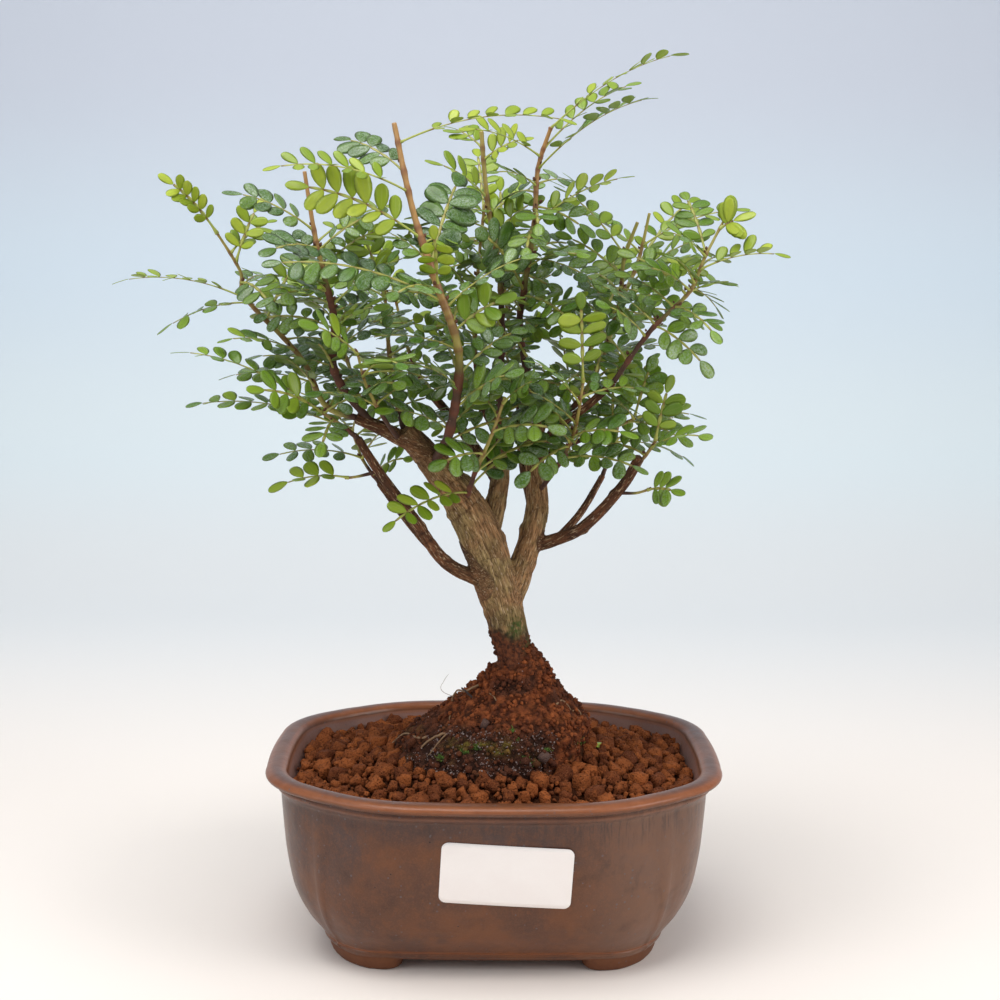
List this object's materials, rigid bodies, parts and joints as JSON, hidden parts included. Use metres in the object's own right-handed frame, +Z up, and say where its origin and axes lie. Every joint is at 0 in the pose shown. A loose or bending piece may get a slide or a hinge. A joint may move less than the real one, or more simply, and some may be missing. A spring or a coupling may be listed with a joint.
{
  "type": "japanese pepper bonsai",
  "caption": "Small leafy bonsai tree with forked trunk and feathery compound leaves on a root mound in a brown glazed pot with cut corners.",
  "frame": {"origin": "centre of the bounding box in plan, at the level of the undersides of the pot's feet", "axes": "+Z up along the trunk, -Y towards the viewer and the label, +X to the viewer's right"},
  "size_m": [0.21, 0.1484, 0.2874],
  "materials": {
    "pot_glaze": "satin",
    "label_paper": "matte",
    "drain_plastic": "matte",
    "akadama_soil": "matte",
    "root_soil": "matte",
    "bark": "matte",
    "leaf": "satin"
  },
  "bodies": {
    "root": {"pot": "pot_glaze", "label": "label_paper", "drain_mesh": "drain_plastic", "soil": "akadama_soil", "root_mound": "root_soil", "trunk": "bark", "shoot_far_left": "leaf", "shoot_left_mast": "leaf", "shoot_tall_front": "leaf", "shoot_centre_mast": "leaf", "shoot_centre_back": "leaf", "shoot_right_mast": "leaf", "shoot_right_fork": "leaf", "shoot_right_fork_back": "leaf", "shoot_far_right": "leaf", "shoot_low_right_edge": "leaf", "shoot_low_right_tip": "leaf", "shoot_low_right_twig": "leaf", "shoot_low_right_back": "leaf", "shoot_low_left_tip": "leaf", "shoot_low_left_back": "leaf", "shoot_low_left_frond": "leaf", "shoot_left_inner": "leaf", "shoot_left_back": "leaf", "shoot_left_front": "leaf", "shoot_centre_front": "leaf", "shoot_right_front": "leaf", "shoot_back_centre": "leaf", "shoot_back_right": "leaf", "shoot_back_left": "leaf"}
  },
  "joints": []
}
